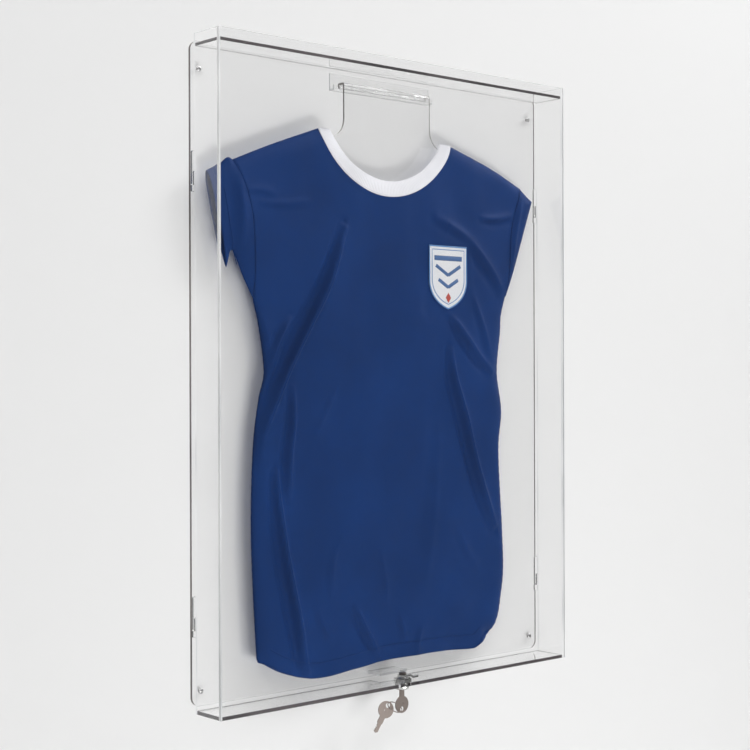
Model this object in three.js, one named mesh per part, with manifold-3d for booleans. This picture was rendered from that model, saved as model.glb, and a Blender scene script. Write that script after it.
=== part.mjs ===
// Jersey display frame: a clear acrylic case on a wall, with a football shirt on a hanger inside it
// and a cam lock in its floor. Millimetres, +Z up, +X to the viewer's right, -Y out of the wall.
// The origin is the centre of the back panel's wall face.
import * as THREE from 'three';
import { mergeVertices } from 'three/addons/utils/BufferGeometryUtils.js';
import Module from 'manifold-3d';

const wasm = await Module();
wasm.setup();

// Driving dimensions of the case
const WIDTH = 630;
const HEIGHT = 850;
const DEPTH = 65;
const SHEET = 4;
const GLUE = 0.2;
const CLEARANCE = 0.3;
const BACK_HEIGHT = 836;
const BACK_CORNER = 12;
const HOOK_SPACE = 8;
const TOP_RECESS = 12;

const HALF_W = WIDTH / 2;
const HALF_H = HEIGHT / 2;
const PANEL_FACE = -SHEET;
const COVER_REAR = PANEL_FACE - HOOK_SPACE;
const FRONT = -DEPTH;
const FRONT_INNER = FRONT + SHEET;
const INNER_X = HALF_W - SHEET - GLUE;
const FLOOR_TOP = -HALF_H + SHEET;

// Wall screws
const SCREW_X = 300;
const SCREW_TOP_Z = 384;
const SCREW_BOTTOM_Z = -399;
const SCREW_SHANK_R = 2.2;
const SCREW_HOLE_R = 2.6;
const SCREW_HEAD_R = 3.6;

// The four pairs of interlocking side hooks
const HOOK_ZONE = 51;
const UPPER_HOOK_Z = 228;
const LOWER_HOOK_Z = -330;
const PRONG = 3.2;
const HOOK_TOP = 25;
const HOOK_TIP = 9.5;
const HOOK_FOOT = 8;

// Rail that carries the hanger
const RAIL_LENGTH = 182;
const RAIL_TOP = 404;
const RAIL_BOTTOM = 381;
const RAIL_WALL = 2.4;
const RAIL_DEPTH = 10.4;
const RAIL_LIP = 388;

// Hanger plate
const HANGER_FRONT = -22;
const HANGER_SHEET = 3;
const STEM_HALF = 79;
const STEM_TOP = 391.5;
const HOOK_TIP_Y = -8;
const HOOK_TIP_Z = 384.6;

// Lock, measured from its axis
const LOCK_Y = -48;
const BARREL_R = 8;
const BARREL_TOP = -414.5;
const FLANGE_R = 10.5;
const FLANGE_FACE_R = 9;
const FLANGE_BOTTOM = -431.4;
const PLUG_R = 5.3;
const PLUG_BOTTOM = -432;
const TAIL_R = 2.9;
const TAIL_TOP = -411.9;
const NUT_FLATS = 22;
const NUT_TOP = -416.5;
const CAM_SHEET = 2;
const CAM_REACH = 28;
const CAM_DROP = 4;
const CAM_WIDTH = 10;
const KEEPER_WIDTH = 50;
const KEEPER_REACH = 29;
const KEEPER_BOTTOM = -413;
const KEEPER_SHEET = 3.5;
const NOTCH_HALF = 27;
const NOTCH_REACH = 31;

// Keys and split ring
const KEY_SHEET = 1.8;
const BOW_R = 11.6;
const BOW_CENTRE_Z = -452.5;
const BOW_HOLE_R = 3.6;
const BOW_HOLE_OFFSET = 6.4;
const NECK_HALF = 4;
const BLADE_HALF = 3;
const NECK_END = 20.2;
const BLADE_END = 34;
const KEYWAY_TOP = -417;
const RING_R = 10.5;
const RING_WIRE = 0.9;

// Shirt
const SHIRT_FRONT = -31;
const SHIRT_FRONT_REAR = -24;
const SHIRT_BACK_FRONT = -17.5;
const SHIRT_BACK = -9;
const SHOULDER_Z = 325;
const NECK_HALF_WIDTH = 121;
const NECK_DEPTH = 81;
const COLLAR_WIDTH = 20;
const BADGE_X = 108;
const BADGE_TOP = 181;
const BADGE_BOTTOM = 90;
const BADGE_WIDTH = 75;

const clear = new THREE.MeshStandardMaterial({ color: 0xeef3f4, roughness: 0.05, transparent: true, opacity: 0.3 });
const chrome = new THREE.MeshStandardMaterial({ color: 0xc4c6c8, roughness: 0.18, metalness: 1 });
const nickel = new THREE.MeshStandardMaterial({ color: 0xb4a89c, roughness: 0.35, metalness: 1 });
const steel = new THREE.MeshStandardMaterial({ color: 0xc0c0c0, roughness: 0.3, metalness: 1 });
const jersey = new THREE.MeshStandardMaterial({ color: 0x223c73, roughness: 0.85 });
const ribbed = new THREE.MeshStandardMaterial({ color: 0xe9e9f0, roughness: 0.85 });
const stitched = new THREE.MeshStandardMaterial({ color: 0xe6e8ee, roughness: 0.7 });

const X = new THREE.Vector3(1, 0, 0);
const Y = new THREE.Vector3(0, 1, 0);
const Z = new THREE.Vector3(0, 0, 1);

const part = new THREE.Group();

function add(name, geometry, material, position = [0, 0, 0], parent = part) {
  const mesh = new THREE.Mesh(geometry, material);
  mesh.name = name;
  mesh.position.set(...position);
  parent.add(mesh);
  return mesh;
}

function box(x0, x1, y0, y1, z0, z1) {
  const geometry = new THREE.BoxGeometry(x1 - x0, y1 - y0, z1 - z0);
  return geometry.translate((x0 + x1) / 2, (y0 + y1) / 2, (z0 + z1) / 2);
}

function shapeOf(points) {
  return new THREE.Shape(points.map(([u, v]) => new THREE.Vector2(u, v)));
}

function extrude(shape, depth, curveSegments = 12) {
  return new THREE.ExtrudeGeometry(shape, { depth, bevelEnabled: false, curveSegments });
}

// A plate drawn in (x, z), from y = rear forward to y = front
function platedXZ(shape, front, rear, curveSegments) {
  return extrude(shape, rear - front, curveSegments).rotateX(Math.PI / 2).translate(0, rear, 0);
}

// A profile drawn in (y, z), run along X from x0 to x1
function profileYZ(points, x0, x1) {
  const turn = new THREE.Matrix4().makeBasis(Y, Z, X);
  return extrude(shapeOf(points), x1 - x0).applyMatrix4(turn).translate(x0, 0, 0);
}

function circleHole(shape, u, v, radius) {
  const hole = new THREE.Path();
  hole.absarc(u, v, radius, 0, Math.PI * 2, true);
  shape.holes.push(hole);
}

function hexagon(flats) {
  const radius = flats / Math.sqrt(3);
  const corners = [0, 1, 2, 3, 4, 5].map((k) => (k * Math.PI) / 3);
  return shapeOf(corners.map((a) => [radius * Math.cos(a), radius * Math.sin(a)]));
}

// A solid of revolution about +Z from (radius, z) points
function turned(points, segments = 40) {
  const profile = points.map(([r, z]) => new THREE.Vector2(r, z));
  return new THREE.LatheGeometry(profile, segments).rotateX(Math.PI / 2);
}

function solidOf(geometry) {
  const bare = geometry.clone();
  bare.deleteAttribute('normal');
  bare.deleteAttribute('uv');
  const merged = mergeVertices(bare, 1e-4);
  const vertProperties = new Float32Array(merged.attributes.position.array);
  const triVerts = new Uint32Array(merged.index.array);
  return new wasm.Manifold(new wasm.Mesh({ numProp: 3, vertProperties, triVerts }));
}

function geometryOf(solid) {
  const mesh = solid.getMesh();
  const geometry = new THREE.BufferGeometry();
  geometry.setAttribute('position', new THREE.BufferAttribute(new Float32Array(mesh.vertProperties), 3));
  geometry.setIndex(Array.from(mesh.triVerts));
  return geometry;
}

// ---- Back panel and what is fixed to it ----

function backPanel() {
  const w = HALF_W;
  const h = BACK_HEIGHT / 2;
  const r = BACK_CORNER;
  const shape = new THREE.Shape();
  shape.moveTo(-w + r, -h);
  shape.lineTo(w - r, -h);
  shape.absarc(w - r, -h + r, r, -Math.PI / 2, 0, false);
  shape.lineTo(w, h - r);
  shape.absarc(w - r, h - r, r, 0, Math.PI / 2, false);
  shape.lineTo(-w + r, h);
  shape.absarc(-w + r, h - r, r, Math.PI / 2, Math.PI, false);
  shape.lineTo(-w, -h + r);
  shape.absarc(-w + r, -h + r, r, Math.PI, Math.PI * 1.5, false);
  for (const x of [-SCREW_X, SCREW_X]) {
    circleHole(shape, x, SCREW_TOP_Z, SCREW_HOLE_R);
    circleHole(shape, x, SCREW_BOTTOM_Z, SCREW_HOLE_R);
  }
  add('back_panel', platedXZ(shape, PANEL_FACE, 0, 8), clear);
}

// Round-headed wall screw, cut off level with the wall
function wallScrews() {
  const headHeight = 2.2;
  const seat = PANEL_FACE - CLEARANCE;
  const screw = turned([
    [0, 0.4],
    [SCREW_SHANK_R, 0.4],
    [SCREW_SHANK_R, -seat],
    [SCREW_HEAD_R, -seat],
    [SCREW_HEAD_R * 0.82, -seat + headHeight * 0.7],
    [SCREW_HEAD_R * 0.4, -seat + headHeight],
    [0, -seat + headHeight],
  ], 24).rotateX(Math.PI / 2);
  const places = [
    ['wall_screw_top_left', -SCREW_X, SCREW_TOP_Z],
    ['wall_screw_top_right', SCREW_X, SCREW_TOP_Z],
    ['wall_screw_bottom_left', -SCREW_X, SCREW_BOTTOM_Z],
    ['wall_screw_bottom_right', SCREW_X, SCREW_BOTTOM_Z],
  ];
  for (const [name, x, z] of places) add(name, screw, steel, [x, 0, z]);
}

// Each wall hook stands up from the back panel; each cover hook hangs down behind its prong.
function sideHooks() {
  const wallFace = PANEL_FACE - GLUE;
  const prongFront = COVER_REAR + CLEARANCE;
  const prongRear = prongFront + PRONG;
  const lead = 1.4;
  const wallHook = [
    [wallFace, 0],
    [wallFace, HOOK_FOOT],
    [prongRear, HOOK_FOOT],
    [prongRear, HOOK_TOP - lead],
    [prongRear - lead, HOOK_TOP],
    [prongFront, HOOK_TOP],
    [prongFront, 0],
  ];
  const innerFront = prongRear + CLEARANCE;
  const innerRear = wallFace - CLEARANCE;
  const glued = COVER_REAR + GLUE;
  const coverHook = [
    [glued, HOOK_TOP + CLEARANCE],
    [glued, HOOK_ZONE],
    [innerRear - lead, HOOK_ZONE],
    [innerRear, HOOK_ZONE - lead],
    [innerRear, HOOK_TIP],
    [innerFront + lead, HOOK_TIP],
    [innerFront, HOOK_TIP + lead],
    [innerFront, HOOK_TOP + CLEARANCE],
  ];
  for (const [side, x] of [['left', -HALF_W], ['right', HALF_W - SHEET]]) {
    for (const [level, z] of [['upper', UPPER_HOOK_Z], ['lower', LOWER_HOOK_Z]]) {
      add(`wall_hook_${level}_${side}`, profileYZ(wallHook, 0, SHEET), clear, [x, 0, z]);
      add(`cover_hook_${level}_${side}`, profileYZ(coverHook, 0, SHEET), clear, [x, 0, z]);
    }
  }
}

// Gutter-shaped rail, glued to the back panel
function hangerRail() {
  const rear = PANEL_FACE - GLUE;
  const front = rear - RAIL_DEPTH;
  const profile = [
    [rear, RAIL_BOTTOM],
    [rear, RAIL_TOP],
    [rear - RAIL_WALL, RAIL_TOP],
    [rear - RAIL_WALL, RAIL_BOTTOM + RAIL_WALL],
    [front + RAIL_WALL, RAIL_BOTTOM + RAIL_WALL],
    [front + RAIL_WALL, RAIL_LIP],
    [front, RAIL_LIP],
    [front, RAIL_BOTTOM],
  ];
  add('hanger_rail', profileYZ(profile, -RAIL_LENGTH / 2, RAIL_LENGTH / 2), clear);
}

function lockKeeper() {
  const top = KEEPER_BOTTOM + KEEPER_SHEET;
  const half = KEEPER_WIDTH / 2;
  add('lock_keeper', box(-half, half, -KEEPER_REACH, PANEL_FACE - GLUE, KEEPER_BOTTOM, top), clear);
}

// ---- Cover ----

function coverPanels() {
  const rimFront = FRONT_INNER + GLUE;
  const lidZ = HALF_H - TOP_RECESS;
  add('front_panel', box(-HALF_W, HALF_W, FRONT, FRONT_INNER, -HALF_H, HALF_H), clear);
  add('left_side_panel', box(-HALF_W, -HALF_W + SHEET, rimFront, COVER_REAR, -HALF_H, HALF_H), clear);
  add('right_side_panel', box(HALF_W - SHEET, HALF_W, rimFront, COVER_REAR, -HALF_H, HALF_H), clear);
  add('top_panel', box(-INNER_X, INNER_X, rimFront, COVER_REAR, lidZ - SHEET, lidZ), clear);
  // The notch lets the cover rise past the lock's keeper
  const floor = shapeOf([
    [-INNER_X, rimFront],
    [INNER_X, rimFront],
    [INNER_X, COVER_REAR],
    [NOTCH_HALF, COVER_REAR],
    [NOTCH_HALF, -NOTCH_REACH],
    [-NOTCH_HALF, -NOTCH_REACH],
    [-NOTCH_HALF, COVER_REAR],
    [-INNER_X, COVER_REAR],
  ]);
  circleHole(floor, 0, LOCK_Y, BARREL_R + CLEARANCE);
  add('bottom_panel', extrude(floor, SHEET), clear, [0, 0, -HALF_H]);
}

// ---- Lock ----

function lockHousing() {
  const bore = PLUG_R + CLEARANCE;
  const seat = -HALF_H - GLUE;
  const housing = turned([
    [bore, FLANGE_BOTTOM],
    [FLANGE_FACE_R, FLANGE_BOTTOM],
    [FLANGE_R, FLANGE_BOTTOM + 2.6],
    [FLANGE_R, seat],
    [BARREL_R, seat],
    [BARREL_R, BARREL_TOP],
    [bore, BARREL_TOP],
    [bore, FLANGE_BOTTOM],
  ]);
  add('lock_housing', housing, chrome, [0, LOCK_Y, 0]);
  const nut = hexagon(NUT_FLATS);
  circleHole(nut, 0, 0, BARREL_R + CLEARANCE);
  const under = FLOOR_TOP + GLUE;
  add('lock_nut', extrude(nut, NUT_TOP - under), chrome, [0, LOCK_Y, under]);
}

function lockPlug() {
  const body = turned([
    [0, PLUG_BOTTOM],
    [PLUG_R, PLUG_BOTTOM],
    [PLUG_R, BARREL_TOP + 0.5],
    [TAIL_R, BARREL_TOP + 0.5],
    [TAIL_R, TAIL_TOP],
    [1.5, TAIL_TOP],
    [1.5, TAIL_TOP - 2],
    [0, TAIL_TOP - 2],
  ]);
  const half = KEY_SHEET / 2 + CLEARANCE;
  const wide = BLADE_HALF + CLEARANCE;
  const keyway = box(-wide, wide, -half, half, PLUG_BOTTOM - 1, KEYWAY_TOP);
  const slotted = geometryOf(solidOf(body).subtract(solidOf(keyway)));
  add('lock_plug', slotted, chrome, [0, LOCK_Y, 0]);
}

// Flat cam on the plug's tail, stepped down so that its end runs just above the case's floor
function lockCam() {
  const under = BARREL_TOP + 1;
  const over = under + CAM_SHEET;
  const side = [
    [-7, under],
    [9.5, under],
    [14.5, under - CAM_DROP],
    [CAM_REACH, under - CAM_DROP],
    [CAM_REACH, over - CAM_DROP],
    [15.3, over - CAM_DROP],
    [10.3, over],
    [-7, over],
  ];
  const strip = extrude(shapeOf(side), CAM_WIDTH + 4).rotateX(Math.PI / 2).translate(0, (CAM_WIDTH + 4) / 2, 0);
  const outline = new THREE.Shape();
  outline.absarc(0, 0, 7, Math.PI / 2, Math.PI * 1.5, false);
  outline.lineTo(CAM_REACH - 2, -3.6);
  outline.lineTo(CAM_REACH, -1.8);
  outline.lineTo(CAM_REACH, 1.8);
  outline.lineTo(CAM_REACH - 2, 3.6);
  circleHole(outline, 0, 0, TAIL_R + CLEARANCE);
  const cutter = extrude(outline, 20).translate(0, 0, under - CAM_DROP - 5);
  const cam = geometryOf(solidOf(strip).intersect(solidOf(cutter)));
  add('lock_cam', cam, chrome, [0, LOCK_Y, 0]);
  const headBase = over + 0.1;
  const head = extrude(hexagon(9), 3).translate(0, 0, headBase);
  const shank = turned([[0, TAIL_TOP - 1.4], [1.2, TAIL_TOP - 1.4], [1.2, headBase + 1], [0, headBase + 1]], 16);
  add('cam_screw', geometryOf(solidOf(head).add(solidOf(shank))), steel, [0, LOCK_Y, 0]);
}

// ---- Keys ----

// Drawn in (x, z): bow centred on the origin with its ring hole below, blade upwards with cut teeth
function keyPlate() {
  const shape = new THREE.Shape();
  const shoulder = Math.asin(NECK_HALF / BOW_R);
  shape.absarc(0, 0, BOW_R, Math.PI / 2 + shoulder, Math.PI / 2 - shoulder + Math.PI * 2, false);
  shape.lineTo(NECK_HALF, NECK_END);
  shape.lineTo(BLADE_HALF, NECK_END);
  const teeth = 4;
  const pitch = (BLADE_END - NECK_END - 3) / teeth;
  for (let k = 0; k < teeth; k += 1) {
    const base = NECK_END + 1 + k * pitch;
    const depth = 0.7 + 0.5 * ((k * 2) % 3);
    shape.lineTo(BLADE_HALF, base);
    shape.lineTo(BLADE_HALF - depth, base + pitch * 0.35);
    shape.lineTo(BLADE_HALF - depth, base + pitch * 0.65);
  }
  shape.lineTo(BLADE_HALF, BLADE_END - 2);
  shape.lineTo(0, BLADE_END);
  shape.lineTo(-BLADE_HALF, BLADE_END - 2);
  shape.lineTo(-BLADE_HALF, NECK_END);
  shape.lineTo(-NECK_HALF, NECK_END);
  circleHole(shape, 0, -BOW_HOLE_OFFSET, BOW_HOLE_R);
  circleHole(shape, 1.5, 1.5, 0.9);
  return platedXZ(shape, -KEY_SHEET / 2, KEY_SHEET / 2, 12);
}

function keysAndRing() {
  add('lock_key', keyPlate(), nickel, [0, LOCK_Y, BOW_CENTRE_Z]);
  const hole = new THREE.Vector3(0, LOCK_Y, BOW_CENTRE_Z - BOW_HOLE_OFFSET);
  const outward = new THREE.Vector3(-0.86, 0.38, 0.3).normalize();
  const wire = new THREE.Vector3(0.5, 0.75, 0.42);
  wire.addScaledVector(outward, -wire.dot(outward)).normalize();
  const normal = new THREE.Vector3().crossVectors(outward, wire);
  const ring = new THREE.TorusGeometry(RING_R, RING_WIRE, 8, 32);
  ring.applyMatrix4(new THREE.Matrix4().makeBasis(outward, wire, normal));
  const centre = hole.clone().addScaledVector(outward, RING_R);
  add('key_ring', ring, nickel, centre.toArray());
  const farHole = hole.clone().addScaledVector(outward, RING_R * 2);
  const up = new THREE.Vector3(0.54, -0.08, 0.89).normalize();
  const facing = wire.clone().addScaledVector(up, -up.dot(wire)).normalize();
  const across = new THREE.Vector3().crossVectors(facing, up);
  const spare = keyPlate().rotateY(Math.PI).translate(0, 0, -BOW_HOLE_OFFSET);
  spare.applyMatrix4(new THREE.Matrix4().makeBasis(across, facing, up));
  add('spare_key', spare, nickel, farHole.toArray());
}

// ---- Hanger ----

// Stem with rounded inner corners that widens into two shoulder wings
function hangerPlate() {
  const shape = new THREE.Shape();
  const wing = 226;
  shape.moveTo(STEM_HALF, STEM_TOP - 1);
  shape.lineTo(STEM_HALF, 342);
  shape.quadraticCurveTo(STEM_HALF + 1, 322, STEM_HALF + 24, 314);
  shape.lineTo(wing, 274);
  shape.quadraticCurveTo(wing + 8, 262, wing - 6, 250);
  shape.quadraticCurveTo(120, 205, 0, 200);
  shape.quadraticCurveTo(-120, 205, -wing + 6, 250);
  shape.quadraticCurveTo(-wing - 8, 262, -wing, 274);
  shape.lineTo(-STEM_HALF - 24, 314);
  shape.quadraticCurveTo(-STEM_HALF - 1, 322, -STEM_HALF, 342);
  shape.lineTo(-STEM_HALF, STEM_TOP - 1);
  const plate = platedXZ(shape, HANGER_FRONT, HANGER_FRONT + HANGER_SHEET, 8);
  const fold = [
    [HANGER_FRONT, STEM_TOP - 4],
    [HANGER_FRONT + 0.9, STEM_TOP - 1],
    [HANGER_FRONT + 3, STEM_TOP],
    [HOOK_TIP_Y - 2, STEM_TOP],
    [HOOK_TIP_Y, STEM_TOP - 2],
    [HOOK_TIP_Y, HOOK_TIP_Z],
    [HOOK_TIP_Y - HANGER_SHEET, HOOK_TIP_Z],
    [HOOK_TIP_Y - HANGER_SHEET, RAIL_LIP + CLEARANCE],
    [HANGER_FRONT + HANGER_SHEET, RAIL_LIP + CLEARANCE],
    [HANGER_FRONT + HANGER_SHEET, STEM_TOP - 8],
    [HANGER_FRONT, STEM_TOP - 8],
  ];
  const trimmed = solidOf(plate).subtract(solidOf(box(-100, 100, -40, 0, STEM_TOP - 6, STEM_TOP + 5)));
  const hook = solidOf(profileYZ(fold, -STEM_HALF, STEM_HALF));
  add('hanger_plate', geometryOf(trimmed.add(hook)), clear);
}

// ---- Shirt ----

const LEFT_ARMHOLE = [[-262, 273], [-250, 241], [-238, 195], [-234, 106]];
const RIGHT_ARMHOLE = [[262, 273], [250, 241], [240, 195], [236, 118]];
const LEFT_SIDE = [[-225, 55], [-218, 1], [-227, -35], [-236, -99], [-239, -213], [-232, -354], [-226, -370]];
const HEM = [[-190, -388], [-158, -397], [-110, -399], [-18, -394], [96, -394], [158, -397], [204, -374]];
const RIGHT_SIDE = [[214, -353], [222, -300], [213, -114], [220, -56], [210, 2], [220, 80]];

function torsoShape(neckHalf, neckDepth) {
  const shape = shapeOf([...LEFT_ARMHOLE, ...LEFT_SIDE, ...HEM, ...RIGHT_SIDE, ...[...RIGHT_ARMHOLE].reverse()]);
  shape.lineTo(neckHalf, SHOULDER_Z);
  shape.absellipse(0, SHOULDER_Z, neckHalf, neckDepth, 0, -Math.PI, true);
  shape.lineTo(...LEFT_ARMHOLE[0]);
  return shape;
}

function shirt() {
  const seam = 0.5;
  add('jersey_front', platedXZ(torsoShape(NECK_HALF_WIDTH, NECK_DEPTH), SHIRT_FRONT, SHIRT_FRONT_REAR, 16), jersey);
  add('jersey_back', platedXZ(torsoShape(NECK_HALF_WIDTH, NECK_DEPTH), SHIRT_BACK_FRONT, SHIRT_BACK, 16), jersey);
  const left = [...LEFT_ARMHOLE].map(([x, z]) => [x - seam, z]);
  const underarm = [[-248, 126], [-265, 157], [-274, 134]];
  const leftSleeve = shapeOf([...left, ...underarm, [-288, 196], [-301, 254], [-286, 262], [-272, 273]]);
  add('sleeve_left', platedXZ(leftSleeve, SHIRT_FRONT, SHIRT_BACK), jersey);
  const right = [...RIGHT_ARMHOLE].map(([x, z]) => [x + seam, z]);
  const rightSleeve = shapeOf([...right, [253, 152], [272, 205], [288, 257]]);
  add('sleeve_right', platedXZ(rightSleeve, SHIRT_FRONT, SHIRT_BACK), jersey);

  const collar = new THREE.Shape();
  const outer = NECK_HALF_WIDTH - seam;
  const inner = NECK_HALF_WIDTH - COLLAR_WIDTH;
  collar.absellipse(0, SHOULDER_Z, outer, NECK_DEPTH - seam, -Math.PI, 0, false);
  collar.absellipse(0, SHOULDER_Z, inner, NECK_DEPTH - COLLAR_WIDTH, 0, -Math.PI, true);
  add('collar', platedXZ(collar, SHIRT_FRONT - 1, SHIRT_FRONT_REAR, 16), ribbed);

  const half = BADGE_WIDTH / 2;
  const badge = new THREE.Shape();
  badge.moveTo(BADGE_X - half, BADGE_TOP);
  badge.lineTo(BADGE_X - half, BADGE_BOTTOM + 38);
  badge.quadraticCurveTo(BADGE_X - half + 4, BADGE_BOTTOM + 12, BADGE_X, BADGE_BOTTOM);
  badge.quadraticCurveTo(BADGE_X + half - 4, BADGE_BOTTOM + 12, BADGE_X + half, BADGE_BOTTOM + 38);
  badge.lineTo(BADGE_X + half, BADGE_TOP);
  add('badge', platedXZ(badge, SHIRT_FRONT - 1.5, SHIRT_FRONT - 0.3, 8), stitched);
}

backPanel();
wallScrews();
sideHooks();
hangerRail();
lockKeeper();
coverPanels();
lockHousing();
lockPlug();
lockCam();
keysAndRing();
hangerPlate();
shirt();

export default part;
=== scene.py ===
import math

import bmesh
import bpy
import numpy as np
from mathutils import Matrix, Vector, noise
from mathutils.kdtree import KDTree


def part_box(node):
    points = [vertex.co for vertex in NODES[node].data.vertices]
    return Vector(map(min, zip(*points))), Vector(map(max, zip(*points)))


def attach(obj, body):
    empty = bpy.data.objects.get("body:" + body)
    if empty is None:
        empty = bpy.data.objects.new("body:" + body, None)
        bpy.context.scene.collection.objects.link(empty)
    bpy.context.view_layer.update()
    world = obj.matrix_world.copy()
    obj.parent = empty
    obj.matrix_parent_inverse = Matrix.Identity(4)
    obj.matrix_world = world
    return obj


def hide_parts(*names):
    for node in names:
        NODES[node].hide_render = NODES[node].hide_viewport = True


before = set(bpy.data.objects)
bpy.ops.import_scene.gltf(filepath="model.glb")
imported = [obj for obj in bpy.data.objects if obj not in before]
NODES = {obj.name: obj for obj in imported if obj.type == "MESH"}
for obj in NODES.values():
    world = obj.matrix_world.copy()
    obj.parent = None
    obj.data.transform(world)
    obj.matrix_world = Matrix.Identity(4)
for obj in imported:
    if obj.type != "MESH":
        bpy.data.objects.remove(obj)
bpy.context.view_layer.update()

MM = 0.001
FLOOR_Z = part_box("bottom_panel")[0].z

# ---------------------------------------------------------------- camera

# Place and near limit in metres, turn and roll in degrees, lens and film in millimetres
CAMERA_PLACE = Vector((-1.4094, -1.5901, -0.0024))
CAMERA_TURN = 41.46
CAMERA_ROLL = -0.18
CAMERA_LENS = 73.37
CAMERA_FILM = 36.0
CAMERA_NEAR = 0.05


def make_camera():
    camera = bpy.data.objects.new("camera", bpy.data.cameras.new("camera"))
    bpy.context.scene.collection.objects.link(camera)
    camera.data.lens = CAMERA_LENS
    camera.data.sensor_width = CAMERA_FILM
    camera.data.clip_start = CAMERA_NEAR
    turn = math.radians(CAMERA_TURN)
    forward = Vector((math.sin(turn), math.cos(turn), 0.0))
    look = forward.to_track_quat("-Z", "Y").to_matrix().to_4x4()
    roll = Matrix.Rotation(math.radians(CAMERA_ROLL), 4, "Z")
    camera.matrix_world = Matrix.Translation(CAMERA_PLACE) @ look @ roll
    bpy.context.scene.camera = camera


# ---------------------------------------------------------------- materials

ACRYLIC_IOR = 1.49
EDGE_FACING = 0.45          # how far a normal leans to an axis where a sheet's face ends and its edge begins
WALE, COURSE = 0.6 * MM, 0.5 * MM
KNIT_STRENGTH, KNIT_DEPTH = 0.35, 0.06 * MM
SHEEN_ROUGHNESS = 0.35
CLOTH_GLOSS = 0.10
CLOTH_GLOSS_GREY = 0.3      # the share of a cloth's gloss and sheen that stays white


def new_material(name):
    material = bpy.data.materials.new(name)
    material.use_nodes = True
    return material, material.node_tree.nodes, material.node_tree.links


def principled(nodes, colour, roughness, **more):
    shader = nodes["Principled BSDF"]
    shader.inputs["Base Color"].default_value = (*colour, 1.0)
    shader.inputs["Roughness"].default_value = roughness
    for key, value in more.items():
        shader.inputs[key.replace("_", " ")].default_value = value
    return shader


def math_node(nodes, links, operation, a, b):
    node = nodes.new("ShaderNodeMath")
    node.operation = operation
    for socket, value in zip(node.inputs, (a, b)):
        if isinstance(value, (int, float)):
            socket.default_value = value
        else:
            links.new(value, socket)
    return node.outputs[0]


def map_range(nodes, links, value, low, high, at_low, at_high):
    node = nodes.new("ShaderNodeMapRange")
    for key, number in (("From Min", low), ("From Max", high), ("To Min", at_low), ("To Max", at_high)):
        node.inputs[key].default_value = number
    links.new(value, node.inputs["Value"])
    return node.outputs[0]


def mix_shaders(nodes, links, share, first, second):
    mix = nodes.new("ShaderNodeMixShader")
    for socket, value in zip(mix.inputs, (share, first, second)):
        links.new(value, socket)
    return mix.outputs[0]


def noise_node(nodes, links, place, scale, detail):
    texture = nodes.new("ShaderNodeTexNoise")
    texture.inputs["Scale"].default_value = scale
    texture.inputs["Detail"].default_value = detail
    links.new(place, texture.inputs["Vector"])
    return texture.outputs["Fac"]


def ramp_node(nodes, links, factor, low, high, dark, light):
    ramp = nodes.new("ShaderNodeValToRGB")
    ramp.color_ramp.elements[0].position = low
    ramp.color_ramp.elements[0].color = (*dark, 1.0)
    ramp.color_ramp.elements[1].position = high
    ramp.color_ramp.elements[1].color = (*light, 1.0)
    links.new(factor, ramp.inputs["Fac"])
    return ramp.outputs["Color"]


def bump_into(nodes, links, shader, height, strength, distance):
    bump = nodes.new("ShaderNodeBump")
    bump.inputs["Strength"].default_value = strength
    bump.inputs["Distance"].default_value = distance
    links.new(height, bump.inputs["Height"])
    links.new(bump.outputs["Normal"], shader.inputs["Normal"])


def object_place(nodes):
    return nodes.new("ShaderNodeTexCoord").outputs["Object"]


def acrylic_material(name, edges=(), haziness=0.004, clear_within=0.0):
    """Clear cast sheet with a faint handling haze, open to shadow rays and to light spread by matt surfaces.

    Each of edges is an axis, the way along it that the edge faces, and its darkest and lightest tones.
    With 0 for the way, they are the edges that run round the sheet, square to that axis."""
    material, nodes, links = new_material(name)
    shader = principled(nodes, (1.0, 1.0, 1.0), 0.0, IOR=ACRYLIC_IOR, Transmission_Weight=1.0)
    patchy = noise_node(nodes, links, object_place(nodes), 6.0, 2.0)
    haze = map_range(nodes, links, patchy, 0.45, 0.9, 0.0, haziness)
    links.new(haze, shader.inputs["Roughness"])
    body = shader.outputs[0]
    # The edges take tones of painted shade and painted highlight in place of the light that a clear edge
    # shows
    for axis, way, dark, light in edges:
        body = edge_painted_light(nodes, links, body, axis, way, dark, light, clear_within)
    path = nodes.new("ShaderNodeLightPath")
    for ray in ("Is Diffuse Ray", "Is Shadow Ray"):
        through = nodes.new("ShaderNodeBsdfTransparent")
        body = mix_shaders(nodes, links, path.outputs[ray], body, through.outputs[0])
    links.new(body, nodes["Material Output"].inputs["Surface"])
    return material


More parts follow.
